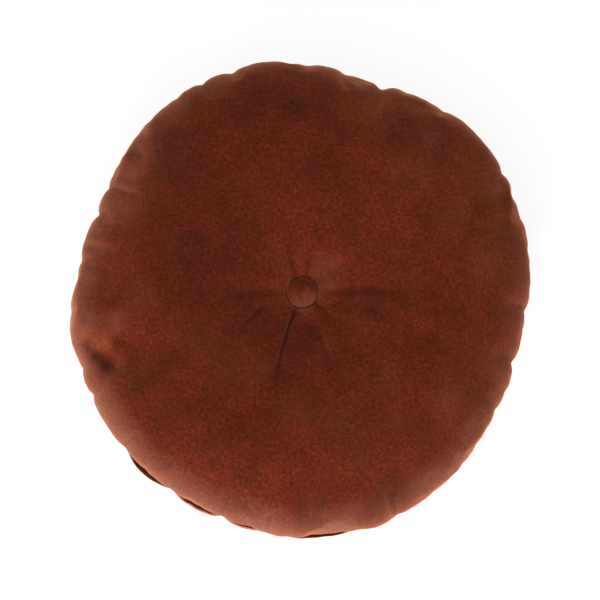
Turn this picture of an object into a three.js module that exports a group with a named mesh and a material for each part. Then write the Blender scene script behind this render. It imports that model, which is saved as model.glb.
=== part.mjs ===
// A round velvet cushion, filled and tufted through its middle with two cloth-covered buttons.
// Millimetres, +Z up. It lies on its back on z = 0, and +Y points to the top of its face.
// Two round panels meet in one seam half way up the side, which is drawn in between two rolls.
import * as THREE from "three";

// Driving sizes
const HALF_WIDTH = 206; // mean radius of the face's roll
const CROWN = { radius: 112, height: 89 }; // the highest ring of the face
const SEAM = { height: 44, drawn_in: 5.5 }; // the seam lies this far inside the rolls
const UPPER_ROLL_HEIGHT = 57; // where the face's roll is widest
const LOWER_ROLL_HEIGHT = 30; // where the back's roll is widest
const LOWER_ROLL_INSET = 4.2; // the back's roll is this much smaller than the face's roll
const FLOOR_RING = { inner: 72, outer: 152 }; // the flat of the back that lies on the floor
const TUFT = { radius: 13.9, front: 68, back: 20, steepness: 2.4 }; // the two button seats
const COLLAR = { height: 5, turn: 2.2 }; // the cloth rises steeply round a button
const BUTTON = { radius: 13, height: 7, edge: 2.2, foot: 0.8 };
const BUTTON_GAP = 0.3; // clearance between a button and the cloth under it

// The outline seen from above departs from a circle by these waves: size in mm, turn in degrees.
const OUTLINE_WAVES = [
  { order: 1, size: 1.85, turn: 334 },
  { order: 2, size: 5.8, turn: 75.8 },
  { order: 3, size: 1.85, turn: 24.3 },
  { order: 4, size: 4.1, turn: 25.1 },
  { order: 5, size: 1.4, turn: 37.8 },
  { order: 6, size: 0.4, turn: 48.6 },
];

// Places where the rim swells or shrinks between its waves: place and half span in degrees, mm outwards.
const SWELLS = [
  { at: 3, half_span: 9, out: 1.4 },
  { at: 24.5, half_span: 7, out: -2.2 },
  { at: 49, half_span: 14, out: 2.6 },
  { at: 63, half_span: 7, out: 1.4 },
  { at: 73, half_span: 6, out: -1.2 },
  { at: 84, half_span: 9, out: 3.2 },
  { at: 97, half_span: 12, out: 3.2 },
  { at: 134, half_span: 12, out: 2.2 },
  { at: 144, half_span: 5, out: 1 },
  { at: 177, half_span: 5, out: -1 },
  { at: 186, half_span: 12, out: 3 },
  { at: 192, half_span: 6, out: 1.8 },
  { at: 228, half_span: 7, out: 2 },
  { at: 268, half_span: 7, out: 2.2 },
  { at: 288, half_span: 6, out: 2 },
  { at: 314, half_span: 9, out: 1 },
  { at: 336, half_span: 7, out: 1.2 },
];

// Puckers where the seam draws the cloth in: place in degrees, depth in mm, and how far
// the pucker reaches from the seam over the roll, in mm.
const PUCKERS = [
  { at: 20, deep: 1.8, reach: 40 },
  { at: 32, deep: 5.2, reach: 44 },
  { at: 43, deep: 0.8, reach: 34 },
  { at: 53, deep: 1.7, reach: 40 },
  { at: 63, deep: 1.3, reach: 34 },
  { at: 69, deep: 8, reach: 62 },
  { at: 79, deep: 2, reach: 48 },
  { at: 88.5, deep: 1.4, reach: 36 },
  { at: 107, deep: 2.4, reach: 42 },
  { at: 115, deep: 4.6, reach: 44 },
  { at: 122, deep: 2, reach: 38 },
  { at: 135, deep: 1.6, reach: 36 },
  { at: 151, deep: 3, reach: 52 },
  { at: 158.5, deep: 6.4, reach: 46 },
  { at: 171.5, deep: 3.8, reach: 44 },
  { at: 184.5, deep: 1.3, reach: 40 },
  { at: 199, deep: 3, reach: 42 },
  { at: 206, deep: 4.2, reach: 42 },
  { at: 221, deep: 3, reach: 36 },
  { at: 236.5, deep: 4, reach: 44 },
  { at: 250.5, deep: 5, reach: 46 },
  { at: 261.5, deep: 1.8, reach: 36 },
  { at: 267, deep: 2, reach: 40 },
  { at: 284, deep: 2.2, reach: 40 },
  { at: 293, deep: 2.6, reach: 42 },
  { at: 304, deep: 1.3, reach: 34 },
  { at: 314, deep: 1.8, reach: 38 },
  { at: 329.5, deep: 2.6, reach: 46 },
  { at: 342.5, deep: 5.2, reach: 50 },
  { at: 356.5, deep: 2.8, reach: 48 },
];
const PUCKER_WIDTH = 4.5;
const STEP_ALONG_RIM = 9.6; // mm between neighbouring points of the rim

// Between puckers the back's roll stands proud of the face's roll in these places.
const LIPS = [
  { at: 228.5, half_span: 7.5, proud: 6.2 },
  { at: 244, half_span: 7, proud: 5 },
  { at: 256, half_span: 4.6, proud: 4 },
  { at: 274, half_span: 7, proud: 5.6 },
];

// Creases that run out from a button: place in degrees, start and end in mm from the middle,
// depth and half width in mm, and how far the crease turns on its way, in degrees.
const FACE_CREASES = [
  { at: 248, start: 14, end: 92, deep: 5, wide: 2.2, bend: 6 },
  { at: 2, start: 14, end: 100, deep: 2.6, wide: 4.5, bend: -3 },
  { at: 177, start: 14, end: 64, deep: 2.2, wide: 5, bend: 7 },
  { at: 113, start: 14, end: 60, deep: 2.4, wide: 3.6, bend: -14 },
  { at: 76, start: 14, end: 44, deep: 1.8, wide: 4, bend: 4 },
  { at: 277, start: 18, end: 56, deep: 3.6, wide: 9, bend: 6 },
  { at: 290, start: 40, end: 66, deep: 1.8, wide: 3, bend: 0 },
  { at: 320, start: 14, end: 40, deep: 2.6, wide: 3, bend: -4 },
  { at: 203, start: 36, end: 72, deep: 2.2, wide: 2.8, bend: 14 },
  { at: 349, start: 20, end: 155, deep: 1.6, wide: 8, bend: -12 },
  { at: 145, start: 14, end: 58, deep: 1.8, wide: 6, bend: 6 },
  { at: 38, start: 14, end: 60, deep: 1.6, wide: 6, bend: -6 },
];
const BACK_CREASES = [
  { at: 20, start: 14, end: 60, deep: 2.5, wide: 6, bend: 0 },
  { at: 92, start: 14, end: 60, deep: 2.5, wide: 6, bend: 0 },
  { at: 164, start: 14, end: 60, deep: 2.5, wide: 6, bend: 0 },
  { at: 236, start: 14, end: 60, deep: 2.5, wide: 6, bend: 0 },
  { at: 308, start: 14, end: 60, deep: 2.5, wide: 6, bend: 0 },
];

// Soft hollows and swells of the face: place of the middle, radius and depth in mm.
const HOLLOWS = [
  { x: -176, y: -66, radius: 26, deep: 3.6 },
  { x: -178, y: -40, radius: 20, deep: -3.0 },
  { x: 168, y: 82, radius: 34, deep: 2.4 },
  { x: -150, y: 112, radius: 34, deep: 2.0 },
  { x: 118, y: -46, radius: 46, deep: 1.6 },
  { x: 60, y: 132, radius: 48, deep: -1.6 },
  { x: -84, y: -120, radius: 52, deep: -1.8 },
  { x: -30, y: 168, radius: 32, deep: 1.8 },
];

const VELVET = new THREE.MeshStandardMaterial({ color: 0x6e2f1c, roughness: 0.85, metalness: 0 });
const BUTTON_VELVET = new THREE.MeshStandardMaterial({ color: 0x7a3622, roughness: 0.85, metalness: 0 });

const { degToRad, radToDeg, clamp } = THREE.MathUtils;

function degreesBetween(a, b) {
  return ((((a - b) % 360) + 540) % 360) - 180;
}

function outlineRadius(angle) {
  const waves = OUTLINE_WAVES.map((w) => w.size * Math.cos(degToRad(w.order * (angle - w.turn))));
  const swells = SWELLS.map((swell) => {
    const aside = degreesBetween(angle, swell.at) / swell.half_span;
    return swell.out * clamp(1 - aside ** 2, 0, 1) ** 2;
  });
  return [...waves, ...swells].reduce((sum, part) => sum + part, HALF_WIDTH);
}

// The rise from a button seat: steep beside the button, then soft to the whole depth of the dimple.
function dimpleRise(share, span, whole) {
  const collar = COLLAR.height * (1 - Math.exp((-share * span) / COLLAR.turn));
  return collar + (whole - COLLAR.height) * (1 - Math.pow(1 - clamp(share, 0, 1), TUFT.steepness));
}

// The cushion's section as rings from the front button seat to the back one. Each ring has its
// radius, its height and the panel it is in.
function sectionRings() {
  const rings = [];
  const add = (radius, height, panel) => rings.push({ radius, height, panel });
  const run = (steps, place) => {
    for (let i = 1; i <= steps; i += 1) place(i / steps);
  };
  const quarter = Math.PI / 2;
  const rise = CROWN.height - TUFT.front;
  const dimple = CROWN.radius - TUFT.radius;
  const lowerRoll = HALF_WIDTH - LOWER_ROLL_INSET;

  add(TUFT.radius, TUFT.front, "face");
  run(9, (s) => {
    const out = Math.pow(s, 1.5);
    add(TUFT.radius + dimple * out, TUFT.front + dimpleRise(out, dimple, rise), "face");
  });
  run(9, (s) => {
    const turn = s * quarter;
    const out = Math.pow(Math.sin(turn), 2 / 3);
    const fall = CROWN.height - UPPER_ROLL_HEIGHT;
    add(CROWN.radius + (HALF_WIDTH - CROWN.radius) * out, UPPER_ROLL_HEIGHT + fall * Math.cos(turn), "face");
  });
  // From each roll the cloth turns in towards the seam, ever more steeply.
  run(3, (s) => {
    const drop = UPPER_ROLL_HEIGHT - SEAM.height;
    add(HALF_WIDTH - SEAM.drawn_in * s ** 2, UPPER_ROLL_HEIGHT - drop * s, "face");
  });
  run(3, (s) => {
    const drop = SEAM.height - LOWER_ROLL_HEIGHT;
    const out = lowerRoll - HALF_WIDTH + SEAM.drawn_in;
    add(lowerRoll - out * (1 - s) ** 2, SEAM.height - drop * s, "back");
  });
  run(6, (s) => {
    const turn = s * quarter;
    const under = lowerRoll - FLOOR_RING.outer;
    add(FLOOR_RING.outer + under * Math.cos(turn) ** 0.8, LOWER_ROLL_HEIGHT * (1 - Math.sin(turn)), "back");
  });
  add(FLOOR_RING.inner, 0, "back");
  run(6, (s) => {
    const out = Math.pow(1 - s, 1.5);
    const span = FLOOR_RING.inner - TUFT.radius;
    add(TUFT.radius + span * out, TUFT.back - dimpleRise(out, span, TUFT.back), "back");
  });
  return rings;
}

// Adds to each ring its way along the cloth from the seam, and the section's outward normal.
function measureRings(rings) {
  const seam = rings.findIndex((ring) => ring.panel === "back") - 1;
  const step = (i) => {
    const [here, before] = [rings[i], rings[i - 1]];
    return Math.hypot(here.radius - before.radius, here.height - before.height);
  };
  rings[seam].fromSeam = 0;
  for (let i = seam + 1; i < rings.length; i += 1) rings[i].fromSeam = rings[i - 1].fromSeam + step(i);
  for (let i = seam - 1; i >= 0; i -= 1) rings[i].fromSeam = rings[i + 1].fromSeam + step(i + 1);
  rings.forEach((ring, i) => {
    const before = rings[Math.max(i - 1, 0)];
    const after = rings[Math.min(i + 1, rings.length - 1)];
    const along = new THREE.Vector2(after.radius - before.radius, after.height - before.height).normalize();
    ring.normal = i === seam ? new THREE.Vector2(1, 0) : new THREE.Vector2(-along.y, along.x);
  });
  return rings;
}

// Points round the rim: one on each pucker, and even steps between two puckers.
function rimAngles() {
  const angles = [];
  PUCKERS.forEach((pucker, i) => {
    const next = PUCKERS[(i + 1) % PUCKERS.length];
    const span = (next.at - pucker.at + 360) % 360;
    const steps = Math.max(3, Math.round((degToRad(span) * HALF_WIDTH) / STEP_ALONG_RIM));
    for (let k = 0; k < steps; k += 1) angles.push(pucker.at + (span * k) / steps);
  });
  return angles;
}

// How far the puckers draw the cloth in at this place.
function puckerDepth(angle, ring) {
  return PUCKERS.reduce((sum, pucker) => {
    const reach = pucker.reach;
    if (ring.fromSeam >= reach) return sum;
    const aside = Math.abs(degToRad(degreesBetween(angle, pucker.at))) * HALF_WIDTH;
    const fade = 1 - (ring.fromSeam / reach) ** 2;
    return sum + pucker.deep * fade * Math.exp(-aside / PUCKER_WIDTH);
  }, 0);
}

function lipDepth(angle, ring) {
  const share = clamp(1 - ring.fromSeam / 60, 0, 1);
  const panelSide = ring.panel === "face" ? 0.5 : -0.5;
  const side = panelSide * Math.tanh(ring.fromSeam / 5);
  return LIPS.reduce((sum, lip) => {
    const aside = Math.abs(degreesBetween(angle, lip.at)) / lip.half_span;
    return aside < 1 ? sum + side * share * lip.proud * (1 - aside ** 2) : sum;
  }, 0);
}

function creaseDepth(angle, radius, creases) {
  return creases.reduce((sum, crease) => {
    const along = (radius - crease.start) / (crease.end - crease.start);
    if (along <= 0 || along >= 1) return sum;
    const line = crease.at + crease.bend * along;
    const aside = Math.abs(degToRad(degreesBetween(angle, line))) * radius;
    const swell = Math.min(1, along / 0.12) * (1 - along) ** 0.7;
    return sum + crease.deep * swell * Math.exp(-((aside / crease.wide) ** 2));
  }, 0);
}

function hollowDepth(x, y) {
  return HOLLOWS.reduce((sum, hollow) => {
    const away = Math.hypot(x - hollow.x, y - hollow.y) / hollow.radius;
    return sum + hollow.deep * Math.exp(-(away ** 2));
  }, 0);
}

// The place of one point of the cloth.
function clothPoint(angle, ring) {
  const uneven = (outlineRadius(angle) - HALF_WIDTH) * (ring.radius / HALF_WIDTH) ** 2;
  const liesFlat = ring.height === 0;
  const isSeat = ring.radius <= TUFT.radius;
  let depth = 0;
  if (!liesFlat && !isSeat) {
    const creases = ring.panel === "face" ? FACE_CREASES : BACK_CREASES;
    depth = puckerDepth(angle, ring) + lipDepth(angle, ring) + creaseDepth(angle, ring.radius, creases);
  }
  const turn = degToRad(angle);
  const flatRadius = ring.radius + uneven;
  if (ring.panel === "face" && !isSeat) {
    depth += hollowDepth(flatRadius * Math.cos(turn), flatRadius * Math.sin(turn)) * ring.normal.y;
  }
  const radius = flatRadius - depth * ring.normal.x;
  return [radius * Math.cos(turn), radius * Math.sin(turn), ring.height - depth * ring.normal.y];
}

function cushionGeometry() {
  const rings = measureRings(sectionRings());
  const angles = rimAngles();
  const count = angles.length;
  const points = rings.flatMap((ring) => angles.flatMap((angle) => clothPoint(angle, ring)));
  const top = rings.length * count;
  const bottom = top + 1;
  points.push(0, 0, TUFT.front, 0, 0, TUFT.back);

  const faces = [];
  for (let k = 0; k < count; k += 1) {
    const next = (k + 1) % count;
    faces.push(top, k, next);
    for (let i = 0; i + 1 < rings.length; i += 1) {
      const here = i * count;
      const below = here + count;
      faces.push(here + k, below + k, below + next, here + k, below + next, here + next);
    }
    const last = (rings.length - 1) * count;
    faces.push(bottom, last + next, last + k);
  }
  const geometry = new THREE.BufferGeometry();
  geometry.setAttribute("position", new THREE.Float32BufferAttribute(points, 3));
  geometry.setIndex(faces);
  geometry.computeVertexNormals();
  geometry.computeBoundingBox();
  return geometry;
}

// A covered button: a flat foot, a rounded edge and a low dome.
function buttonGeometry() {
  const { radius, height, edge, foot } = BUTTON;
  const shoulder = radius - edge;
  const edgeTop = height - edge;
  const profile = [
    new THREE.Vector2(0, 0),
    new THREE.Vector2(radius - foot, 0),
    new THREE.Vector2(radius, foot),
  ];
  for (let i = 0; i <= 4; i += 1) {
    const turn = degToRad(i * 18);
    const [out, up] = [edge * Math.cos(turn), edge * Math.sin(turn)];
    profile.push(new THREE.Vector2(shoulder + out, edgeTop - edge / 2 + up));
  }
  const last = profile[profile.length - 1];
  for (let i = 1; i <= 4; i += 1) {
    const out = 1 - i / 4;
    const share = 1 - out ** 2;
    profile.push(new THREE.Vector2(last.x * out, last.y + (height - last.y) * share));
  }
  const geometry = new THREE.LatheGeometry(profile, 40);
  geometry.rotateX(Math.PI / 2);
  return geometry;
}

function named(name, geometry, material) {
  const mesh = new THREE.Mesh(geometry, material);
  mesh.name = name;
  return mesh;
}

const cushion = named("cushion", cushionGeometry(), VELVET);
const frontButton = named("button_front", buttonGeometry(), BUTTON_VELVET);
frontButton.position.z = TUFT.front + BUTTON_GAP;
const backButton = named("button_back", buttonGeometry(), BUTTON_VELVET);
backButton.rotation.x = Math.PI;
backButton.position.z = TUFT.back - BUTTON_GAP;

// The origin is on the floor under the middle of the cushion's box.
const roundCushion = new THREE.Group();
roundCushion.add(cushion, frontButton, backButton);
const box = cushion.geometry.boundingBox;
roundCushion.position.set(-(box.min.x + box.max.x) / 2, -(box.min.y + box.max.y) / 2, 0);

export default roundCushion;
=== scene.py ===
"""A round velvet cushion, tufted through its middle with two covered buttons.

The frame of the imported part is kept: metres, +Z up, and +Y towards the top of the face.
Tables are in millimetres and degrees, counted round the middle of the front button from +X.
"""
import math

import bmesh
import bpy
import numpy as np
from bpy.props import FloatProperty, FloatVectorProperty, IntProperty, PointerProperty
from mathutils import Matrix, Vector


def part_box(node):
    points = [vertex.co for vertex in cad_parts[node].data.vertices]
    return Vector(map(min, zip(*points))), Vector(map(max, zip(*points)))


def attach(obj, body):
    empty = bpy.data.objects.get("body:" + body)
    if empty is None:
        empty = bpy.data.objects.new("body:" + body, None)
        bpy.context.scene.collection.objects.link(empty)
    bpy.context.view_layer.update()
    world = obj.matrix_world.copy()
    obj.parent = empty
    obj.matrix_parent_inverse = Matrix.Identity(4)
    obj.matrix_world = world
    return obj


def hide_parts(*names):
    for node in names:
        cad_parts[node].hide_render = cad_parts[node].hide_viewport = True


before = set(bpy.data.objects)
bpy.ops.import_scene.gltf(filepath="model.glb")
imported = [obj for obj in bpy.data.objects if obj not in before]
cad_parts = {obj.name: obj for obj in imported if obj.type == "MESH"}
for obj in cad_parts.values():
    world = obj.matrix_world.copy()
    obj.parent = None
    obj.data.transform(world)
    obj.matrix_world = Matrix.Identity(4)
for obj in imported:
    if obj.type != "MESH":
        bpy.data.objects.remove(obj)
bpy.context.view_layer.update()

bl_info = {
    "name": "Round tufted cushion",
    "version": (1, 0, 0),
    "blender": (4, 5, 0),
    "location": "3D View > Sidebar > Cushion",
    "description": "Makes a round velvet cushion with a covered button on each side",
    "category": "Add Mesh",
}

FRONT_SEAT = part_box("button_front")
BACK_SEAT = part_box("button_back")
MIDDLE = (FRONT_SEAT[0] + FRONT_SEAT[1]) / 2
MM = 0.001
PHOTO_WIDTH = 600

# The cushion's section, as in the solid, but with a tuft seat half a millimetre narrower
HALF_WIDTH = 206.0
CROWN = {"radius": 112.0, "height": 89.0}
SEAM_HEIGHT = 44.0
UPPER_ROLL_HEIGHT = 57.0
LOWER_ROLL_HEIGHT = 30.0
LOWER_ROLL_INSET = 4.2
FLOOR_RING = {"inner": 72.0, "outer": 152.0}
TUFT = {"radius": 13.4, "front": 68.0, "back": 20.0, "steepness": 2.4, "collar": 5.0, "turn": 1.5}
PUCKER_WIDTH = 4.5
PAINTED_SHEEN_SIDE = 242.0  # the rim is painted palest on this side, where the key light falls: a painted sheen, with worn pile

# (order, size, turn): waves by which the outline departs from a circle, from the Fourier terms of the
# photograph's outline
OUTLINE_WAVES = (
    (1, 1.85, 334.0), (2, 5.8, 75.8), (3, 1.85, 24.3), (4, 4.1, 25.1), (5, 1.4, 37.8), (6, 0.4, 48.6),
)

# (at, deep, reach): puckers where the seam draws the cloth in
PUCKERS = (
    (20, 1.8, 40), (32, 5.2, 44), (43, 0.8, 34), (53, 1.7, 40), (63, 1.3, 34), (69, 8.0, 62),
    (79, 2.0, 48), (88.5, 1.4, 36), (107, 2.4, 42), (115, 4.6, 44), (122, 2.0, 38), (135, 1.6, 36),
    (151, 3.0, 52), (158.5, 6.4, 46), (171.5, 3.8, 44), (184.5, 1.3, 40), (199, 3.0, 42), (206, 4.2, 42),
    (221, 3.0, 36), (236.5, 4.0, 44), (250.5, 5.0, 46), (261.5, 1.8, 36), (267, 2.0, 40),
    (284, 2.2, 40), (293, 2.6, 42), (304, 1.3, 34), (314, 1.8, 38), (329.5, 2.6, 46),
    (342.5, 5.2, 50), (356.5, 2.8, 48),
)

# (at, half_span, out): where the rim swells or shrinks between its waves
SWELLS = (
    (3, 9, 1.4), (24.5, 7, -2.2), (49, 14, 2.6), (63, 7, 1.4), (73, 6, -1.2), (84, 9, 3.2), (97, 12, 3.2),
    (134, 12, 2.2), (144, 5, 1.0), (177, 5, -1.0), (186, 12, 3.0), (192, 6, 1.8), (228, 7, 2.0),
    (268, 7, 2.2), (288, 6, 2.0), (314, 9, 1.0), (336, 7, 1.2),
)

# (at, half_span, proud, gap): where the back's roll stands proud of the face's roll, with a dark gap
# between. The last one lies 1.6 degrees further round than in the solid
LIPS = ((228.5, 7.5, 6.2, 1.0), (244, 7.0, 5.0, 0.4), (256, 4.6, 4.0, 0.3), (275.6, 7.0, 5.6, 1.6))
LIP_TROUGH = {"away": 4.0, "wide": 4.2, "deep": 4.0, "inward": 6.0}
LIP_CREST = {"away": 9.5, "apart": 4.0, "wide": 5.0, "high": 12.0}

# (at, start, end, deep, wide, bend): creases that run out from a button
FACE_CREASES = (
    (248, 14, 92, 5.0, 2.2, 6), (2, 14, 100, 2.6, 4.5, -3), (177, 14, 64, 2.2, 5, 7),
    (113, 14, 60, 2.4, 3.6, -14), (76, 14, 44, 1.8, 4, 4), (277, 18, 56, 3.6, 9, 6),
    (290, 40, 66, 1.8, 3, 0), (320, 14, 40, 2.6, 3.0, -4), (203, 36, 72, 2.2, 2.8, 14),
    (349, 20, 155, 1.6, 8, -12), (145, 14, 58, 1.8, 6, 6), (38, 14, 60, 1.6, 6, -6),
)
BACK_CREASES = (
    (20, 14, 60, 2.5, 6, 0), (92, 14, 60, 2.5, 6, 0), (164, 14, 60, 2.5, 6, 0),
    (236, 14, 60, 2.5, 6, 0), (308, 14, 60, 2.5, 6, 0),
)

# (x, y, radius, deep): soft hollows and swells of the face
HOLLOWS = (
    (-176, -66, 26, 3.6), (-178, -40, 20, -3.0), (168, 82, 34, 2.4), (-150, 112, 34, 2.0),
    (118, -46, 46, 1.6), (60, 132, 48, -1.6), (-84, -120, 52, -1.8), (-30, 168, 32, 1.8),
)

# (x0, y0, x1, y1, deep, wide): short folds of the face, deep at the line and proud beside it
FOLDS = (
    (-192, -44, -166, -66, 2.0, 6.0),
    (-188, 40, -168, 34, 1.0, 3.4),
    (-184, 20, -170, 16, 0.7, 3.0),
    (-170, 92, -146, 84, 0.8, 3.2),
    (-182, 62, -160, 56, 0.5, 3.4),
    (72, 178, 86, 146, 0.5, 4.4),
    (38, 190, 46, 166, 0.5, 3.4),
    (180, -62, 158, -52, 0.5, 4.0),
    (168, -98, 148, -86, 0.5, 3.4),
    (148, -140, 130, -122, 0.5, 3.8),
    (166, -36, 150, -120, 0.5, 5.0),
)

# (x, y, radius, lighter): patches where the face is painted lighter or darker: pile lie together with
# painted light and painted shade, placed from a map of the photograph's brightness against the render's
PILE_AND_PAINTED_LIGHT = (
    (4, 14, 24, 0.3), (24, 22, 13, 0.25), (-18, 0, 13, 0.25), (2, -20, 9, 0.55), (22, 0, 9, 0.5),
    (15, -50, 10, 0.22), (4, 24, 7, -0.15), (10, 50, 10, -0.15), (22, 38, 8, -0.15), (-44, 34, 8, -0.18),
    (-87, -15, 10, -0.2), (-96, 60, 38, -0.16), (-88, 10, 17, -0.22), (-62, 22, 14, -0.2),
    (-62, 50, 15, -0.14), (-116, 108, 22, -0.2), (-45, 120, 36, -0.1), (-120, 18, 20, -0.1),
    (12, 106, 16, -0.26), (42, 84, 15, -0.18), (-10, 162, 12, -0.24), (-40, 172, 11, -0.16),
    (60, -6, 13, -0.22), (114, -15, 18, -0.2), (98, -50, 17, -0.14), (122, -45, 12, 0.16),
    (-108, -108, 32, -0.2), (-60, -142, 34, -0.1), (32, -176, 18, -0.2), (82, -178, 17, -0.3),
    (-4, -199, 14, -0.24), (56, -199, 12, -0.3), (98, 112, 24, 0.2), (152, 104, 26, 0.2),
    (-144, 112, 9, 0.4), (-162, 86, 7, 0.35), (-181, 56, 8, 0.25), (-182, 22, 8, -0.25), (174, 94, 9, 0.4),
    (132, 64, 18, 0.16), (170, 60, 22, 0.26), (160, 22, 18, 0.3), (160, 74, 10, -0.3), (90, -18, 10, -0.18),
    (60, 164, 24, 0.28), (112, 140, 11, 0.25), (76, 172, 9, 0.2), (-116, 160, 17, 0.4), (-74, 182, 14, 0.4),
    (-118, 138, 8, -0.25), (-160, 76, 20, 0.45), (-152, 102, 12, 0.4), (-174, 34, 8, 0.25),
    (-140, -10, 14, 0.2), (-163, -31, 13, 0.45), (-164, -12, 9, -0.22), (-186, -31, 9, 0.55),
    (-173, -46, 8, 0.35), (-159, -64, 7, 0.3), (-188, -48, 6, -0.35), (-180, -59, 7, -0.5),
    (-171, -68, 7, -0.5), (-162, -48, 6, -0.3), (-152, -62, 12, -0.3), (-146, -88, 12, -0.25),
    (-132, -78, 16, -0.15), (-100, -38, 20, 0.1), (-66, -72, 28, 0.14), (-35, -68, 9, 0.16),
    (-8, -108, 24, 0.1), (30, -114, 15, 0.16), (48, -146, 20, 0.12), (80, -114, 10, 0.2),
    (126, -96, 17, 0.26), (84, -30, 10, 0.2), (168, -62, 11, 0.45), (100, -37, 9, 0.2), (74, -80, 10, 0.18),
    (-42, -128, 18, -0.1), (-74, 168, 9, -0.2), (-125, 122, 10, -0.12),
)


class CushionSizes(bpy.types.PropertyGroup):
    """Sizes and colours of the cushion that a user would change."""

    drawn_in: FloatProperty(
        name="Seam drawn in", description="How far the seam lies inside the rolls beside it",
        default=5.5 * MM, min=0.0, max=0.02, unit="LENGTH",
    )
    puff: FloatProperty(
        name="Puff", description="Push of the filling against the cloth", default=4.5, min=0.0, max=20.0,
    )
    gather: FloatProperty(
        name="Gather", description="Share of spare cloth that is eased into the seam",
        default=0.11, min=0.0, max=0.3, subtype="FACTOR",
    )
    give: FloatProperty(
        name="Give", description="Furthest that the cloth may move from its pattern",
        default=8.0 * MM, min=0.0, max=0.03, unit="LENGTH",
    )
    frames: IntProperty(
        name="Settling frames", description="Frames for which the cloth settles", default=20, min=1, max=60,
    )
    fill: FloatProperty(
        name="Fill", description="From slack to tight", default=0.75, min=0.0, max=1.0, subtype="FACTOR",
    )
    button_radius: FloatProperty(
        name="Button radius", description="Radius of a covered button",
        default=(FRONT_SEAT[1].x - FRONT_SEAT[0].x) / 2, unit="LENGTH",
    )
    velvet: FloatVectorProperty(
        name="Velvet", description="Colour of the pile seen straight on", subtype="COLOR", size=3,
        min=0.0, max=1.0, default=(0.071, 0.003, 0.0),
    )
    velvet_warm: FloatVectorProperty(
        name="Warm velvet", description="Colour of the pile where it lies the other way", subtype="COLOR",
        size=3, min=0.0, max=1.0, default=(0.082, 0.002, 0.0),
    )
    lint: FloatVectorProperty(
        name="Lint", description="Colour of the raised fibres of the pile", subtype="COLOR", size=3,
        min=0.0, max=1.0, default=(0.103, 0.0355, 0.012),
    )
    # Pale colour of a painted highlight, and of raised pile
    pale: FloatVectorProperty(
        name="Pale pile", description="Colour painted where light falls on the face, and where the pile is raised", subtype="COLOR", size=3,
        min=0.0, max=1.0, default=(0.17, 0.042, 0.02),
    )
    rim_sheen_and_wear: FloatVectorProperty(
        name="Rim sheen and wear", description="Colour of the rim's painted sheen on its lit side, and of its worn pile", subtype="COLOR", size=3,
        min=0.0, max=1.0, default=(0.16, 0.058, 0.036),
    )
    bloom: FloatVectorProperty(
        name="Bloom", description="Colour of the pile seen at a low angle", subtype="COLOR", size=3,
        min=0.0, max=1.0, default=(0.95, 0.37, 0.19),
    )
    floor_colour: FloatVectorProperty(
        name="Floor", description="Colour of the floor", subtype="COLOR", size=3,
        min=0.0, max=1.0, default=(0.35, 0.35, 0.35),
    )


# Shapes of the cloth

def degrees_between(a, b):
    return (a - b + 540.0) % 360.0 - 180.0


def bulge(share):
    """1 in the middle, falling softly to 0 where the share is 1 either way."""
    return np.clip(1.0 - np.asarray(share) ** 2, 0.0, 1.0) ** 2


def outline_radius(angle):
    radius = np.full(np.shape(angle), HALF_WIDTH)
    for order, size, turn in OUTLINE_WAVES:
        radius = radius + size * np.cos(np.radians(order * (angle - turn)))
    for at, half_span, out in SWELLS:
        radius = radius + out * bulge(degrees_between(angle, at) / half_span)
    return radius


def dimple_rise(share, span, whole):
    """Rise of the cloth from a button seat: steep beside the button, then soft up to the whole depth."""
    collar = TUFT["collar"] * (1.0 - np.exp(-share * span / TUFT["turn"]))
    return collar + (whole - TUFT["collar"]) * (1.0 - (1.0 - share) ** TUFT["steepness"])


def section_curve(drawn_in):
    """The section as fine steps of radius and height, and the step at which the seam lies."""
    fine = np.linspace(0.0, 1.0, 201)
    quarter = fine * math.pi / 2
    seat, crown = TUFT["radius"], CROWN["radius"]
    front_rise = CROWN["height"] - TUFT["front"]
    out = fine ** 1.5
    lower_roll = HALF_WIDTH - LOWER_ROLL_INSET
    parts = [(seat + (crown - seat) * out, TUFT["front"] + dimple_rise(out, crown - seat, front_rise))]
    fall = CROWN["height"] - UPPER_ROLL_HEIGHT
    parts.append((
        crown + (HALF_WIDTH - crown) * np.sin(quarter) ** (2 / 3),
        UPPER_ROLL_HEIGHT + fall * np.cos(quarter),
    ))
    to_seam = UPPER_ROLL_HEIGHT - SEAM_HEIGHT
    parts.append((HALF_WIDTH - drawn_in * fine ** 2, UPPER_ROLL_HEIGHT - to_seam * fine))
    seam = sum(len(part[0]) - 1 for part in parts)
    parts.append((
        lower_roll - (lower_roll - HALF_WIDTH + drawn_in) * (1 - fine) ** 2,
        SEAM_HEIGHT - (SEAM_HEIGHT - LOWER_ROLL_HEIGHT) * fine,
    ))
    under = lower_roll - FLOOR_RING["outer"]
    parts.append((
        FLOOR_RING["outer"] + under * np.abs(np.cos(quarter)) ** 0.8,
        LOWER_ROLL_HEIGHT * (1 - np.sin(quarter)),
    ))
    parts.append((FLOOR_RING["outer"] + (FLOOR_RING["inner"] - FLOOR_RING["outer"]) * fine, 0 * fine))
    back = (1 - fine) ** 1.5
    span = FLOOR_RING["inner"] - seat
    parts.append((seat + span * back, TUFT["back"] - dimple_rise(back, span, TUFT["back"])))
    radii = np.concatenate([parts[0][0]] + [part[0][1:] for part in parts[1:]])
    heights = np.concatenate([parts[0][1]] + [part[1][1:] for part in parts[1:]])
    return radii, heights, seam


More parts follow.
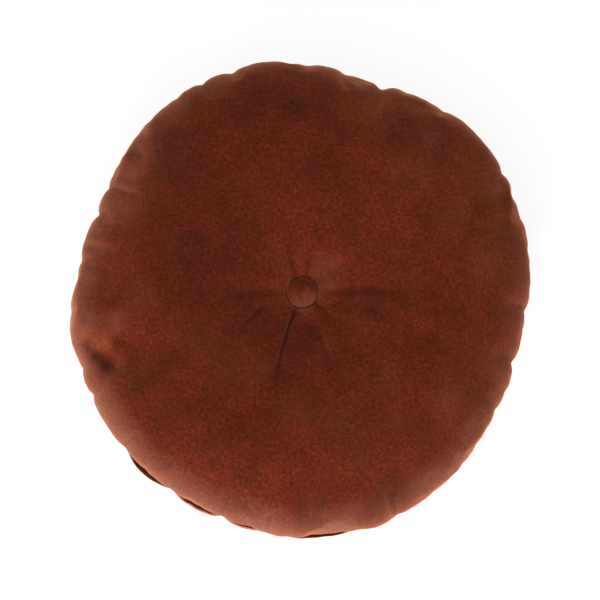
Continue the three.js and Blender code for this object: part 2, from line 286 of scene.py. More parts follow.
def ring_stations(radii, along, seam):
    """Places along the section at which the cover has a ring: close at the tuft, the rolls and the seam."""
    stations = [0.0]
    while stations[-1] < along[-1]:
        here = stations[-1]
        radius = np.interp(here, along, radii)
        from_seam = abs(here - along[seam])
        lies_flat = here > along[seam] and FLOOR_RING["inner"] < radius < FLOOR_RING["outer"] - 4
        if lies_flat:
            step = 9.0
        elif from_seam < 14:
            step = 2.2
        elif from_seam < 95 or radius < 56:
            step = min(3.2, 1.0 + 0.028 * (radius - TUFT["radius"]) * 1.8)
        else:
            step = 5.0
        reached = here + step
        if here < along[seam] < reached + 0.4 * step:
            reached = along[seam]
        stations.append(reached)
    stations[-1] = along[-1]
    if stations[-1] - stations[-2] < 0.5:
        stations.pop(-2)
    return np.array(stations)


def cover_rings(drawn_in):
    """Rings of the cover, each with its radius, height, outward normal, panel and way from the seam."""
    radii, heights, seam = section_curve(drawn_in)
    steps = np.hypot(np.diff(radii), np.diff(heights))
    along = np.concatenate([[0.0], np.cumsum(steps)])
    stations = ring_stations(radii, along, seam)
    soft = 1.5
    dr = np.interp(stations + soft, along, radii) - np.interp(stations - soft, along, radii)
    dh = np.interp(stations + soft, along, heights) - np.interp(stations - soft, along, heights)
    size = np.hypot(dr, dh)
    rings = []
    for i, station in enumerate(stations):
        rings.append({
            "radius": float(np.interp(station, along, radii)),
            "height": float(np.interp(station, along, heights)),
            "normal": (-dh[i] / size[i], dr[i] / size[i]),
            "on_face": station <= along[seam] + 1e-6,
            "from_seam": abs(station - along[seam]),
            "is_seam": abs(station - along[seam]) < 1e-6,
        })
    return rings


def rim_angles():
    """Angles round the rim: one on each pucker, with even steps between, a multiple of four in all."""
    angles = []
    for i, pucker in enumerate(PUCKERS):
        span = (PUCKERS[(i + 1) % len(PUCKERS)][0] - pucker[0]) % 360
        steps = 4 * max(1, round(span / 4.5))
        angles += [pucker[0] + span * k / steps for k in range(steps)]
    return np.array(angles, float)


def pucker_depth(angle, from_seam):
    depth = np.zeros(np.shape(angle))
    for at, deep, reach in PUCKERS:
        if from_seam < reach:
            aside = np.abs(np.radians(degrees_between(angle, at))) * HALF_WIDTH
            depth += deep * (1 - (from_seam / reach) ** 2) * np.exp(-aside / PUCKER_WIDTH)
    return depth


def easing_waves(on_face):
    """Orders, sizes and turns of the small ripples that the spare cloth makes along the seam."""
    rng = np.random.default_rng(11 if on_face else 29)
    return rng.integers(64, 150, 14), rng.uniform(0.05, 0.2, 14), rng.uniform(0, 360, 14)


EASING = {on_face: easing_waves(on_face) for on_face in (True, False)}


def easing_depth(angle, ring):
    fade = max(0.0, 1 - ring["from_seam"] / 34) ** 1.5 * min(1.0, 0.35 + ring["from_seam"] / 8)
    if fade == 0:
        return np.zeros(np.shape(angle))
    waves = zip(*EASING[ring["on_face"]])
    return fade * sum(size * np.cos(np.radians(order * (angle - turn))) for order, size, turn in waves)


def lip_share(angle):
    """How much of a lip there is at each angle, how proud it stands, and how wide its gap is."""
    share, proud, gap = (np.zeros(np.shape(angle)) for _ in range(3))
    for at, half_span, out, wide in LIPS:
        here = np.clip(1 - (degrees_between(angle, at) / half_span) ** 2, 0, 1)
        share, proud, gap = share + here, proud + out * here, np.where(here > 0, wide, gap)
    return share, proud, gap


def lip_depth(angle, ring):
    share = max(0.0, 1 - ring["from_seam"] / 60)
    side = math.copysign(0.5, 1 if ring["on_face"] else -1) * math.tanh(ring["from_seam"] / 5)
    return side * share * lip_share(angle)[1]


def lip_curl(angle, ring):
    """How far a lip curls up and inwards: its crest stands beyond a trough that runs beside the seam."""
    away = -ring["from_seam"] if ring["on_face"] else ring["from_seam"]
    share, _, gap = lip_share(angle)
    trough = math.exp(-(((away - LIP_TROUGH["away"]) / LIP_TROUGH["wide"]) ** 2))
    crest = np.exp(-(((away - LIP_CREST["away"] - LIP_CREST["apart"] * gap) / LIP_CREST["wide"]) ** 2))
    up = share * (crest * LIP_CREST["high"] - gap * trough * LIP_TROUGH["deep"])
    return up, share * gap * trough * LIP_TROUGH["inward"]


def crease_depth(angle, radius, creases):
    depth = np.zeros(np.shape(angle))
    for at, start, end, deep, wide, bend in creases:
        along = (radius - start) / (end - start)
        if 0 < along < 1:
            aside = np.abs(np.radians(degrees_between(angle, at + bend * along))) * radius
            swell = min(1.0, along / 0.12) * (1 - along) ** 0.7
            depth += deep * swell * np.exp(-((aside / wide) ** 2))
    return depth


def hollow_depth(x, y):
    depth = np.zeros(np.shape(x))
    for at_x, at_y, radius, deep in HOLLOWS:
        depth += deep * np.exp(-(((x - at_x) ** 2 + (y - at_y) ** 2) / radius ** 2))
    return depth


def fold_depth(x, y):
    depth = np.zeros(np.shape(x))
    for x0, y0, x1, y1, deep, wide in FOLDS:
        length = math.hypot(x1 - x0, y1 - y0)
        ux, uy = (x1 - x0) / length, (y1 - y0) / length
        along = ((x - x0) * ux + (y - y0) * uy) / length
        aside = (x - x0) * -uy + (y - y0) * ux
        past = np.maximum(0.0, np.maximum(-along, along - 1)) * length / wide
        valley = np.exp(-((aside / wide) ** 2))
        ridge = 0.7 * np.exp(-(((aside - 2.1 * wide) / (1.3 * wide)) ** 2))
        depth += deep * (valley - ridge) * np.exp(-(past ** 2))
    return depth


def pile_with_painted_light_and_shade(x, y, from_seam, creases):
    """How much lighter or darker than the rest the face is painted: pile lie with painted light and painted
    shade, darkest in the creases and puckers.
    """
    lighter = np.zeros(np.shape(x))
    for at_x, at_y, radius, amount in PILE_AND_PAINTED_LIGHT:
        lighter += amount * np.exp(-(((x - at_x) ** 2 + (y - at_y) ** 2) / radius ** 2))
    angle, radius = np.degrees(np.arctan2(y, x)), np.hypot(x, y)
    for at, start, end, deep, wide, bend in creases:
        along = np.clip((radius - start) / (end - start), 0, 1)
        aside = np.abs(np.radians(degrees_between(angle, at + bend * along))) * radius
        within = (along > 0) & (along < 1)
        # Painted shade along the creases
        lighter -= 0.1 * deep * within * (1 - along) ** 0.5 * np.exp(-((aside / wide) ** 2))
    for at, deep, reach in PUCKERS:
        aside = np.abs(np.radians(degrees_between(angle, at))) * radius
        # Painted shade in the puckers beside the seam
        lighter -= 0.1 * deep * np.clip(1 - 2 * from_seam / reach, 0, 1) * np.exp(-((aside / 1.8) ** 2))
    return lighter


def ring_points(angle, ring):
    """The places of one ring of the cover, in mm from the middle of the front button."""
    uneven = (outline_radius(angle) - HALF_WIDTH) * (ring["radius"] / HALF_WIDTH) ** 2
    flat_radius = ring["radius"] + uneven
    turn = np.radians(angle)
    x, y = flat_radius * np.cos(turn), flat_radius * np.sin(turn)
    depth = np.zeros(len(angle))
    if ring["radius"] > TUFT["radius"] + 1e-6 and ring["height"] > 0:
        creases = FACE_CREASES if ring["on_face"] else BACK_CREASES
        depth = pucker_depth(angle, ring["from_seam"]) + lip_depth(angle, ring)
        depth += crease_depth(angle, ring["radius"], creases) + easing_depth(angle, ring)
        if ring["on_face"]:
            depth += hollow_depth(x, y) * ring["normal"][1] + fold_depth(x, y)
    radius = flat_radius - depth * ring["normal"][0]
    height = ring["height"] - depth * ring["normal"][1]
    if ring["height"] > 0:
        up, inward = lip_curl(angle, ring)
        height, radius = height + up, radius - inward
    return np.column_stack([radius * np.cos(turn), radius * np.sin(turn), np.maximum(height, 0.0)])


def ring_stride(radius):
    """Rings near the tuft have a half or a quarter of the rim's points."""
    if radius < 28:
        return 4
    return 2 if radius < 56 else 1


def join_rings(inner, outer):
    """Faces between two rings with the same number of points, or with twice as many on the outer ring."""
    count = len(inner)
    faces = []
    if len(outer) == count:
        for k in range(count):
            n = (k + 1) % count
            faces.append((inner[k], outer[k], outer[n], inner[n]))
        return faces
    for k in range(count):
        n = (k + 1) % count
        a, b, c = outer[2 * k], outer[2 * k + 1], outer[2 * n]
        faces += [(inner[k], a, b), (inner[k], b, inner[n]), (inner[n], b, c)]
    return faces


def cover_mesh(sizes):
    """The cover as points, faces and what each point needs to know, before the filling swells it."""
    rings = cover_rings(sizes.drawn_in / MM)
    angles = rim_angles()
    points, facts, rows = [], [], []
    for ring in rings:
        stride = ring_stride(ring["radius"])
        angle = angles[::stride]
        start = len(points)
        points += ring_points(angle, ring).tolist()
        rows.append(list(range(start, start + len(angle))))
        facts += [ring] * len(angle)
    faces = []
    for inner, outer in zip(rows, rows[1:]):
        if len(inner) <= len(outer):
            faces += join_rings(inner, outer)
        else:
            faces += [tuple(reversed(face)) for face in join_rings(outer, inner)]
    top, bottom = len(points), len(points) + 1
    points += [[0, 0, TUFT["front"]], [0, 0, TUFT["back"]]]
    facts += [rings[0], rings[-1]]
    first, last = rows[0], rows[-1]
    faces += [(top, first[k], first[(k + 1) % len(first)]) for k in range(len(first))]
    faces += [(bottom, last[(k + 1) % len(last)], last[k]) for k in range(len(last))]
    points = np.array(points) * MM + np.array([MIDDLE.x, MIDDLE.y, 0.0])
    seam_row = rows[[ring["is_seam"] for ring in rings].index(True)]
    return points, faces, facts, seam_row


# Small helpers

def deselect_everything():
    if bpy.context.object and bpy.context.object.mode != "OBJECT":
        bpy.ops.object.mode_set(mode="OBJECT")
    bpy.ops.object.select_all(action="DESELECT")


def make_active(piece):
    deselect_everything()
    piece.hide_set(False)
    piece.select_set(True)
    bpy.context.view_layer.objects.active = piece


def coordinates(mesh):
    flat = np.zeros(len(mesh.vertices) * 3)
    mesh.vertices.foreach_get("co", flat)
    return flat.reshape(-1, 3)


def set_coordinates(mesh, points):
    mesh.vertices.foreach_set("co", np.asarray(points, float).ravel())
    mesh.update()


def set_attribute(mesh, name, values):
    attribute = mesh.attributes.get(name) or mesh.attributes.new(name, "FLOAT", "POINT")
    attribute.data.foreach_set("value", np.asarray(values, np.float32))


def set_weights(piece, name, weights):
    group = piece.vertex_groups.new(name=name)
    for index in np.nonzero(weights > 0)[0]:
        group.add([int(index)], float(weights[index]), "REPLACE")


# The velvet cover

def let_filling_swell(cover, facts, sizes):
    """Cloth with the filling's pressure inside: it gathers at the seam and tightens over the face."""
    before = coordinates(cover.data)
    from_seam = np.array([fact["from_seam"] for fact in facts])
    radius = np.array([fact["radius"] for fact in facts])
    height = np.array([fact["height"] for fact in facts])
    held = np.where(from_seam < 0.5, 1.0, 0.0)
    held[radius <= TUFT["radius"] + 0.6] = 1.0
    angle = np.degrees(np.arctan2(before[:, 1] - MIDDLE.y, before[:, 0] - MIDDLE.x))
    on_back = np.array([not fact["on_face"] for fact in facts])
    beside_lip = on_back & (from_seam < LIP_CREST["away"] + LIP_CREST["apart"])
    held = np.maximum(held, np.where(beside_lip, np.clip(1.6 * lip_share(angle)[0], 0, 1), 0))
    held[height <= 0.0] = 1.0
    gathers = np.clip(1 - from_seam / 34, 0, 1) ** 0.8
    gathers = np.maximum(gathers, 0.6 * np.clip(1 - (radius - TUFT["radius"]) / 46, 0, 1))
    set_weights(cover, "held", held)
    set_weights(cover, "gathers", gathers)
    modifier = cover.modifiers.new("filling", "CLOTH")
    cloth = modifier.settings
    cloth.quality = 5
    cloth.mass = 0.3
    cloth.tension_stiffness = 22
    cloth.compression_stiffness = 22
    cloth.shear_stiffness = 8
    cloth.bending_stiffness = 0.6
    cloth.air_damping = 2
    cloth.use_pressure = True
    cloth.uniform_pressure_force = sizes.puff
    cloth.vertex_group_mass = "held"
    cloth.pin_stiffness = 1.0
    cloth.vertex_group_shrink = "gathers"
    cloth.shrink_min = 0.0
    cloth.shrink_max = -sizes.gather
    cloth.effector_weights.gravity = 0
    modifier.collision_settings.use_self_collision = False
    modifier.point_cache.frame_start = 1
    modifier.point_cache.frame_end = sizes.frames
    scene = bpy.context.scene
    for number in range(1, sizes.frames + 1):
        scene.frame_set(number)
    settled = cover.evaluated_get(bpy.context.evaluated_depsgraph_get())
    after = coordinates(settled.data)
    cover.modifiers.remove(modifier)
    scene.frame_set(1)
    moved = iron(cover.data, after - before, np.clip((from_seam - 42) / 24, 0, 1))
    far = np.linalg.norm(moved, axis=1)
    give = sizes.give * np.clip((radius - TUFT["radius"]) / 14, 0.03, 1)
    keep = np.minimum(1.0, give / np.maximum(far, 1e-9))
    after = before + moved * keep[:, None]
    after[:, 2] = np.maximum(after[:, 2], 0.0)
    set_coordinates(cover.data, after)
    print(f"cover: moved {far.mean() / MM:.2f} mm on average, {far.max() / MM:.2f} mm at most")


def edge_ends(mesh):
    ends = np.zeros(len(mesh.edges) * 2, int)
    mesh.edges.foreach_get("vertices", ends)
    return ends.reshape(-1, 2)


def blend_with_neighbours(mesh, values, weights, rounds):
    """Values of the points, averaged with those of their neighbours, wholly where the weight is 1."""
    ends = edge_ends(mesh)
    count = np.bincount(ends.ravel(), minlength=len(values))[:, None]
    for _ in range(rounds):
        total = np.zeros_like(values)
        np.add.at(total, ends[:, 0], values[ends[:, 1]])
        np.add.at(total, ends[:, 1], values[ends[:, 0]])
        values = values + weights[:, None] * (total / count - values)
    return values


def iron(mesh, moved, weights):
    """Takes the small wrinkles out of the cloth's movement where the weight is 1."""
    return blend_with_neighbours(mesh, moved, 0.8 * weights, 26)


def crest_of(mesh, rounds=3):
    """How far each point stands above its neighbours: positive on a crest, negative in a crease."""
    points = coordinates(mesh)
    normals = np.zeros(len(mesh.vertices) * 3)
    mesh.vertex_normals.foreach_get("vector", normals)
    smooth = blend_with_neighbours(mesh, points, np.ones(len(points)), rounds)
    return ((points - smooth) * normals.reshape(-1, 3)).sum(1)


def panel_map(mesh, facts_radius):
    """A map that follows each panel as it was cut: a disc, flat, in metres."""
    layer = mesh.uv_layers.new(name="panel")
    loops = np.zeros(len(mesh.loops), int)
    mesh.loops.foreach_get("vertex_index", loops)
    points = coordinates(mesh)
    turn = np.arctan2(points[:, 1] - MIDDLE.y, points[:, 0] - MIDDLE.x)
    flat = np.column_stack([facts_radius * np.cos(turn), facts_radius * np.sin(turn)])
    layer.data.foreach_set("uv", flat[loops].astype(np.float32).ravel())


def cut_radius(facts):
    """The way along the cloth from the middle of its panel, in metres."""
    seam_way = max(fact["from_seam"] for fact in facts if fact["on_face"])
    back_way = max(fact["from_seam"] for fact in facts if not fact["on_face"])
    ways = [
        TUFT["radius"] + (seam_way if fact["on_face"] else back_way) - fact["from_seam"] for fact in facts
    ]
    return np.array(ways) * MM


def sew_cover(sizes):
    points, faces, facts, seam_row = cover_mesh(sizes)
    mesh = bpy.data.meshes.new("velvet_cover")
    mesh.from_pydata(points.tolist(), [], faces)
    mesh.validate()
    cover = bpy.data.objects.new("velvet_cover", mesh)
    bpy.context.scene.collection.objects.link(cover)
    panel_map(mesh, cut_radius(facts))
    from_seam = np.array([fact["from_seam"] for fact in facts])
    # Painted shade along the seam, where the two panels meet
    set_attribute(mesh, "seam_painted_shade", np.exp(-((from_seam / 2.4) ** 2)))
    turn = np.degrees(np.arctan2(points[:, 1] - MIDDLE.y, points[:, 0] - MIDDLE.x))
    lit_rim = 0.5 + 0.5 * np.cos(np.radians(turn - PAINTED_SHEEN_SIDE))
    on_face = np.array([fact["on_face"] for fact in facts])
    x, y = (points[:, 0] - MIDDLE.x) / MM, (points[:, 1] - MIDDLE.y) / MM
    # The pile attribute holds pile lie with painted light and painted shade; the material lightens or
    # darkens the colour by it
    pile = pile_with_painted_light_and_shade(x, y, from_seam, FACE_CREASES) * on_face
    set_attribute(mesh, "pile", pile)
    # Paler towards the lit side of the rim near the seam: a painted sheen, with worn pile
    rim_sheen_and_wear = np.clip((50 - from_seam) / 30, 0, 1) * lit_rim
    set_attribute(mesh, "rim_sheen_and_wear", rim_sheen_and_wear * np.clip(1 + 2 * pile, 0, 1))
    let_filling_swell(cover, facts, sizes)
    crease = mesh.attributes.new("crease_edge", "FLOAT", "EDGE")
    on_seam = np.zeros(len(mesh.vertices), bool)
    on_seam[seam_row] = True
    both = on_seam[edge_ends(mesh)].all(axis=1)
    crease.data.foreach_set("value", both.astype(np.float32))
    make_active(cover)
    finer = cover.modifiers.new("finer", "SUBSURF")
    finer.levels = finer.render_levels = 1
    bpy.ops.object.modifier_apply(modifier=finer.name)
    mesh = cover.data
    points = coordinates(mesh)
    points[:, 2] = np.maximum(points[:, 2], 0.0)
    set_coordinates(mesh, points)
    crest = crest_of(mesh)
    set_attribute(mesh, "crest", np.clip(crest / (0.25 * MM), -1, 1))
    bpy.ops.object.shade_smooth()
    return cover


def node(tree, kind, place, **values):
    made = tree.nodes.new(kind)
    made.location = place
    for name, value in values.items():
        if hasattr(made, name):
            setattr(made, name, value)
        else:
            made.inputs[name.replace("_", " ")].default_value = value
    return made


def noise(tree, vector, place, scale, detail=2.0, rough=0.5, distortion=0.0):
    made = tree.nodes.new("ShaderNodeTexNoise")
    made.location = place
    made.inputs["Scale"].default_value = scale
    made.inputs["Detail"].default_value = detail
    made.inputs["Roughness"].default_value = rough
    made.inputs["Distortion"].default_value = distortion
    tree.links.new(vector, made.inputs["Vector"])
    return made.outputs["Fac"]


def ramp(tree, value, place, low, high, low_value=0.0, high_value=1.0):
    made = tree.nodes.new("ShaderNodeMapRange")
    made.location = place
    made.inputs["From Min"].default_value = low
    made.inputs["From Max"].default_value = high
    made.inputs["To Min"].default_value = low_value
    made.inputs["To Max"].default_value = high_value
    tree.links.new(value, made.inputs["Value"])
    return made.outputs["Result"]


def math_of(tree, kind, a, b, place):
    made = tree.nodes.new("ShaderNodeMath")
    made.operation = kind
    made.location = place
    for socket, value in zip(made.inputs, (a, b)):
        if isinstance(value, (int, float)):
            socket.default_value = value
        else:
            tree.links.new(value, socket)
    return made.outputs[0]


def mix_colour(tree, factor, a, b, place, blend="MIX"):
    made = tree.nodes.new("ShaderNodeMix")
    made.data_type = "RGBA"
    made.blend_type = blend
    made.location = place
    for socket, value in ((made.inputs[0], factor), (made.inputs[6], a), (made.inputs[7], b)):
        if isinstance(value, bpy.types.NodeSocket):
            tree.links.new(value, socket)
        elif isinstance(value, (int, float)):
            socket.default_value = value
        else:
            socket.default_value = (*value[:3], 1.0)
    return made.outputs[2]


def velvet_material(name, sizes, has_map):
    material = bpy.data.materials.new(name)
    material.use_nodes = True
    tree = material.node_tree
    tree.nodes.clear()
    link = tree.links.new
    out = node(tree, "ShaderNodeOutputMaterial", (1400, 0))
    shader = node(tree, "ShaderNodeBsdfPrincipled", (1100, 0))
    link(shader.outputs["BSDF"], out.inputs["Surface"])
    shader.inputs["Roughness"].default_value = 0.9
    shader.inputs["Specular IOR Level"].default_value = 0.02
    shader.inputs["Sheen Weight"].default_value = 0.8
    shader.inputs["Sheen Roughness"].default_value = 0.5
    shader.inputs["Sheen Tint"].default_value = (*sizes.bloom, 1.0)

    if has_map:
        place = node(tree, "ShaderNodeUVMap", (-1400, 0), uv_map="panel").outputs["UV"]
    else:
        place = node(tree, "ShaderNodeTexCoord", (-1400, 0)).outputs["Object"]

    lie = noise(tree, place, (-1100, 500), 26, 6, 0.9, 0.25)
    hue = noise(tree, place, (-1100, 250), 24, 4, 0.75, 0.5)
    pressed = noise(tree, place, (-1100, 0), 30, 5, 0.72)
    grain = noise(tree, place, (-1100, -250), 330, 4, 0.95)
    stretched = node(tree, "ShaderNodeMapping", (-1200, -500))
    stretched.inputs["Scale"].default_value = (1.0, 0.15, 1.0)
    link(place, stretched.inputs["Vector"])
    threads = noise(tree, stretched.outputs["Vector"], (-1000, -500), 600, 1, 0.5)

    red = ramp(tree, hue, (-600, 350), 0.4, 0.6)
    colour = mix_colour(tree, red, sizes.velvet, sizes.velvet_warm, (-400, 300))
    nap = math_of(tree, "ADD", math_of(tree, "MULTIPLY", grain, 0.9, (-800, -250)),
                  math_of(tree, "MULTIPLY", threads, 0.1, (-800, -500)), (-600, -300))
    flecks = ramp(tree, nap, (-400, 0), 0.4, 0.66, 0.0, 0.5)
    colour = mix_colour(tree, flecks, colour, sizes.lint, (-200, 300))
    shade = math_of(tree, "MULTIPLY", ramp(tree, lie, (-600, 550), 0.3, 0.7, 0.5, 1.5),
                    ramp(tree, nap, (-400, -100), 0.3, 0.7, 0.45, 1.55), (-200, 100))
    pile = node(tree, "ShaderNodeAttribute", (-800, 1050), attribute_name="pile").outputs["Fac"]
    # Below zero the pile attribute darkens the colour: painted shade in the hollows, creases and puckers,
    # with pile lie
    shade = math_of(tree, "MULTIPLY", shade, ramp(tree, pile, (-400, 1050), -0.5, 0.0, 0.2, 1.0), (0, 100))
    shaded = tree.nodes.new("ShaderNodeVectorMath")
    shaded.operation = "SCALE"
    shaded.location = (100, 200)
    link(colour, shaded.inputs[0])
    link(shade, shaded.inputs["Scale"])
    # Above zero the pile attribute mixes the colour towards the pale colour: a painted highlight where the
    # light falls, with pile lie
    painted_light_and_pile = math_of(tree, "MULTIPLY", ramp(tree, pile, (-400, 1300), 0.0, 0.8, 0.0, 1.0),
                      ramp(tree, lie, (-400, 1550), 0.35, 0.65, 0.7, 1.3), (-200, 1300))
    tufted = ramp(tree, nap, (-200, 1550), 0.35, 0.65, 0.6, 1.4)
    painted_light_and_pile = math_of(tree, "MULTIPLY", painted_light_and_pile, tufted, (0, 1300))
    colour = mix_colour(tree, painted_light_and_pile, shaded.outputs[0], sizes.pale, (200, 200))

    if has_map:
        # Painted sheen on the rim's lit side, with worn pile, made patchy by the noise
        rim = node(tree, "ShaderNodeAttribute", (-400, 900), attribute_name="rim_sheen_and_wear").outputs["Fac"]
        uneven = ramp(tree, hue, (-400, 1200), 0.35, 0.6, 0.6, 1.1)
        patchy = math_of(tree, "MULTIPLY", rim, uneven, (-200, 900))
        patchy = math_of(tree, "MULTIPLY", patchy, tufted, (0, 900))
        colour = mix_colour(tree, patchy, colour, sizes.rim_sheen_and_wear, (400, 300))
        crest = node(tree, "ShaderNodeAttribute", (-400, 600), attribute_name="crest").outputs["Fac"]
        worn = ramp(tree, crest, (-200, 600), 0.1, 1.0, 0.0, 0.15)
        colour = mix_colour(tree, worn, colour, [1.9 * c for c in sizes.velvet_warm], (500, 300))
        # Darker where the cloth lies below its neighbours: painted shade in the creases
        painted_crease_shade = ramp(tree, crest, (-200, 450), -1.0, -0.1, 0.25, 0.0)
        colour = mix_colour(tree, painted_crease_shade, colour, [0.35 * c for c in sizes.velvet], (600, 300))
        # Darker towards the seam: painted shade in the gap between the rolls
        seam = node(tree, "ShaderNodeAttribute", (-400, 750), attribute_name="seam_painted_shade").outputs["Fac"]
        near = math_of(tree, "MULTIPLY", seam, 0.75, (500, 600))
        colour = mix_colour(tree, near, colour, [0.3 * c for c in sizes.velvet], (700, 300))
    link(colour, shader.inputs["Base Color"])

    height = math_of(tree, "ADD", math_of(tree, "MULTIPLY", nap, 0.2, (-200, -300)), pressed, (0, -300))
    bump = node(tree, "ShaderNodeBump", (700, -300))
    bump.inputs["Strength"].default_value = 1.0
    bump.inputs["Distance"].default_value = 0.9 * MM
    link(height, bump.inputs["Height"])
    link(bump.outputs["Normal"], shader.inputs["Normal"])
    rough = ramp(tree, nap, (700, -50), 0.2, 0.8, 0.82, 0.98)
    link(rough, shader.inputs["Roughness"])
    return material


# Covered buttons

def select_faces(piece, test):
    """In edit mode, selects the faces whose middle and normal pass the test."""
    mesh = bmesh.from_edit_mesh(piece.data)
    bpy.context.tool_settings.mesh_select_mode = (False, False, True)
    for face in mesh.faces:
        face.select_set(bool(test(face.calc_center_median(), face.normal)))
    mesh.select_flush_mode()
    bmesh.update_edit_mesh(piece.data)


def select_points(piece, test):
    mesh = bmesh.from_edit_mesh(piece.data)
    bpy.context.tool_settings.mesh_select_mode = (True, False, False)
    for point in mesh.verts:
        point.select_set(bool(test(point.co)))
    mesh.select_flush_mode()
    bmesh.update_edit_mesh(piece.data)


def model_button(sizes):
    """A domed former with velvet pulled over it, pleated where it is tucked under."""
    low, high = FRONT_SEAT
    radius = sizes.button_radius
    side = 3.6 * MM
    deselect_everything()
    bpy.ops.mesh.primitive_cylinder_add(
        vertices=72, radius=radius - 0.05 * MM, depth=side, end_fill_type="NGON",
        location=(MIDDLE.x, MIDDLE.y, low.z + side / 2),
    )
    button = bpy.context.object
    button.name = button.data.name = "covered_button_front"
    bpy.ops.object.transform_apply(location=True, rotation=True, scale=True)
    bpy.ops.object.mode_set(mode="EDIT")
    top = low.z + side
    rise_left = high.z - top
    for inset, share in ((0.5, 0.16), (0.8, 0.2), (1.5, 0.24), (2.6, 0.22), (3.2, 0.13), (2.4, 0.05)):
        select_faces(button, lambda at, n, top=top: n.z > 0.9 and at.z > top - 0.05 * MM)
        bpy.ops.mesh.inset(thickness=inset * MM, depth=0)
        bpy.ops.transform.translate(value=(0, 0, rise_left * share))
        top += rise_left * share
    select_faces(button, lambda at, n: n.z < -0.9)
    bpy.ops.mesh.inset(thickness=0.7 * MM, depth=0)
    bpy.ops.transform.translate(value=(0, 0, 0.0))
    select_faces(button, lambda at, n: abs(n.z) < 0.3)
    bpy.ops.mesh.subdivide(number_cuts=1)
    centre = Vector((MIDDLE.x, MIDDLE.y, 0))

    def is_pleat(point):
        out = point - centre
        turn = math.degrees(math.atan2(out.y, out.x)) % 15
        return point.z < low.z + 0.2 * MM and min(turn, 15 - turn) < 2.6

    select_points(button, is_pleat)
    bpy.ops.transform.resize(value=(0.955, 0.955, 1), center_override=(MIDDLE.x, MIDDLE.y, low.z))
    bpy.ops.object.mode_set(mode="OBJECT")
    finer = button.modifiers.new("finer", "SUBSURF")
    finer.levels = finer.render_levels = 1
    bpy.ops.object.modifier_apply(modifier=finer.name)
    points = coordinates(button.data)
    # The lower half of the button is painted lighter and the upper half darker: painted light from below,
    # with a wavy edge of pile lie
    across, down = (points[:, 0] - MIDDLE.x) / MM, (MIDDLE.y - points[:, 1]) / MM
    painted_light_and_pile = np.tanh((down + 0.35 * across + 1.5 * np.sin(across / 2.2)) / 5.5)
    set_attribute(button.data, "pile", 0.25 + 0.35 * painted_light_and_pile)
    bpy.ops.object.shade_smooth()
    return button


def turn_over(button):
    """The back button: a copy of the front one, face down."""
    make_active(button)
    bpy.ops.object.duplicate()
    back = bpy.context.object
    back.name = back.data.name = "covered_button_back"
    front_middle = (FRONT_SEAT[0] + FRONT_SEAT[1]) / 2
    back_middle = (BACK_SEAT[0] + BACK_SEAT[1]) / 2
    bpy.ops.transform.rotate(value=math.pi, orient_axis="X", center_override=front_middle)
    bpy.ops.transform.translate(value=back_middle - front_middle)
    bpy.ops.object.transform_apply(location=True, rotation=True, scale=True)
    return back


# Operators and panel

class CUSHION_OT_cover(bpy.types.Operator):
    """Sew the velvet cover, and let the filling swell it"""

    bl_idname = "cushion.cover"
    bl_label = "Velvet cover"

    def execute(self, context):
        sizes = context.scene.cushion_sizes
        cover = sew_cover(sizes)
        cover.data.materials.clear()
        cover.data.materials.append(velvet_material("rust_velvet", sizes, True))
        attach(cover, "root")
        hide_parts("cushion")
        return {"FINISHED"}


class CUSHION_OT_buttons(bpy.types.Operator):
    """Set a covered button in the tuft on each side"""

    bl_idname = "cushion.buttons"
    bl_label = "Covered buttons"

    def execute(self, context):
        sizes = context.scene.cushion_sizes
        front = model_button(sizes)
        back = turn_over(front)
        velvet = velvet_material("button_velvet", sizes, False)
        for button, seat in ((front, "button_front"), (back, "button_back")):
            button.data.materials.clear()
            button.data.materials.append(velvet)
            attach(button, "root")
            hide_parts(seat)
        return {"FINISHED"}


def area_light(name, place, target, size, power, colour=(1, 1, 1)):
    data = bpy.data.lights.new(name, "AREA")
    data.shape = "DISK"
    data.size = size
    data.energy = power
    data.color = colour
    light = bpy.data.objects.new(name, data)
    bpy.context.scene.collection.objects.link(light)
    light.location = place
    light.rotation_mode = "QUATERNION"
    light.rotation_quaternion = (Vector(target) - Vector(place)).to_track_quat("-Z", "Y")
    return light


CAMERA = {"tilt": 10.0, "towards": 253.0, "away": 3.0, "mm_per_px": 0.87, "button_px": (302.3, 292.0)}


def set_camera():
    tilt, towards = math.radians(CAMERA["tilt"]), math.radians(CAMERA["towards"])
    back = Vector((math.sin(tilt) * math.cos(towards), math.sin(tilt) * math.sin(towards), math.cos(tilt)))
    right = Vector((0, 1, 0)).cross(back).normalized()
    up = back.cross(right)
    px = CAMERA["mm_per_px"] * MM
    middle = PHOTO_WIDTH / 2
    button = Vector((MIDDLE.x, MIDDLE.y, FRONT_SEAT[1].z))
    aside, below = (at - middle for at in CAMERA["button_px"])
    target = button - right * aside * px + up * below * px
    data = bpy.data.cameras.new("camera")
    data.sensor_width = 36
    data.lens = data.sensor_width * CAMERA["away"] / (PHOTO_WIDTH * px)
    camera = bpy.data.objects.new("camera", data)
    bpy.context.scene.collection.objects.link(camera)
    axes = Matrix((right, up, back)).transposed()
    camera.matrix_world = Matrix.Translation(target + back * CAMERA["away"]) @ axes.to_4x4()
    bpy.context.scene.camera = camera


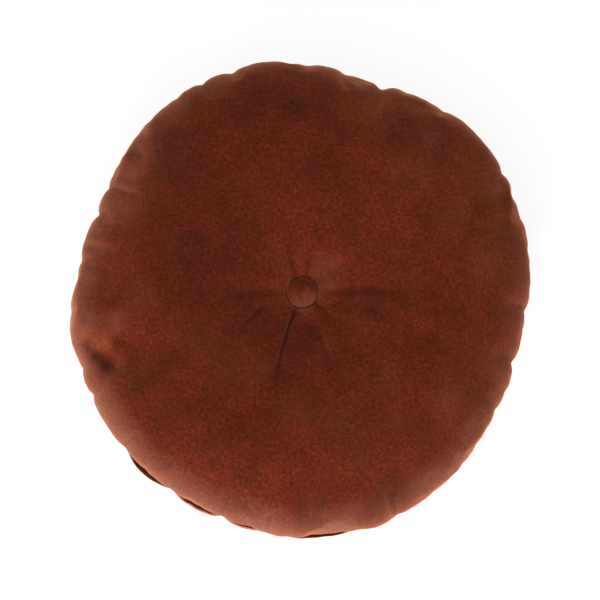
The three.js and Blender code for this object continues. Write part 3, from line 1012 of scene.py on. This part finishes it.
class CUSHION_OT_stage(bpy.types.Operator):
    """Lay the pale floor and set the soft lights and the camera"""

    bl_idname = "cushion.stage"
    bl_label = "Stage"

    def execute(self, context):
        sizes = context.scene.cushion_sizes
        deselect_everything()
        bpy.ops.mesh.primitive_plane_add(size=8, location=(0, 0, 0))
        floor = context.object
        floor.name = "floor"
        paint = bpy.data.materials.new("pale_floor")
        paint.use_nodes = True
        shader = paint.node_tree.nodes["Principled BSDF"]
        shader.inputs["Base Color"].default_value = (*sizes.floor_colour, 1.0)
        shader.inputs["Roughness"].default_value = 0.8
        shader.inputs["Emission Color"].default_value = (1.0, 1.0, 1.0, 1.0)
        shader.inputs["Emission Strength"].default_value = 0.75
        floor.data.materials.append(paint)
        area_light("key", (-0.64, -2.39, 0.8), (0, 0, 0.05), 1.0, 72)
        area_light("rim", (-1.83, -1.83, 0.27), (0, 0, 0.05), 0.45, 30)
        world = context.scene.world or bpy.data.worlds.new("studio")
        context.scene.world = world
        world.use_nodes = True
        backdrop = world.node_tree.nodes["Background"]
        backdrop.inputs["Color"].default_value = (1, 1, 1, 1)
        backdrop.inputs["Strength"].default_value = 0.76
        context.scene.view_settings.view_transform = "Standard"
        set_camera()
        return {"FINISHED"}


class CUSHION_PT_panel(bpy.types.Panel):
    """Lists the steps that make the cushion"""

    bl_label = "Round cushion"
    bl_idname = "CUSHION_PT_panel"
    bl_space_type = "VIEW_3D"
    bl_region_type = "UI"
    bl_category = "Cushion"

    def draw(self, context):
        sizes = context.scene.cushion_sizes
        for name in CushionSizes.__annotations__:
            self.layout.prop(sizes, name)
        for operator in (CUSHION_OT_cover, CUSHION_OT_buttons, CUSHION_OT_stage):
            self.layout.operator(operator.bl_idname)


CLASSES = (CushionSizes, CUSHION_OT_cover, CUSHION_OT_buttons, CUSHION_OT_stage, CUSHION_PT_panel)


def register():
    for item in CLASSES:
        bpy.utils.register_class(item)
    bpy.types.Scene.cushion_sizes = PointerProperty(type=CushionSizes)


def unregister():
    del bpy.types.Scene.cushion_sizes
    for item in reversed(CLASSES):
        bpy.utils.unregister_class(item)


def main():
    register()
    bpy.ops.cushion.cover()
    bpy.ops.cushion.buttons()
    bpy.ops.cushion.stage()


if __name__ == "__main__":
    main()
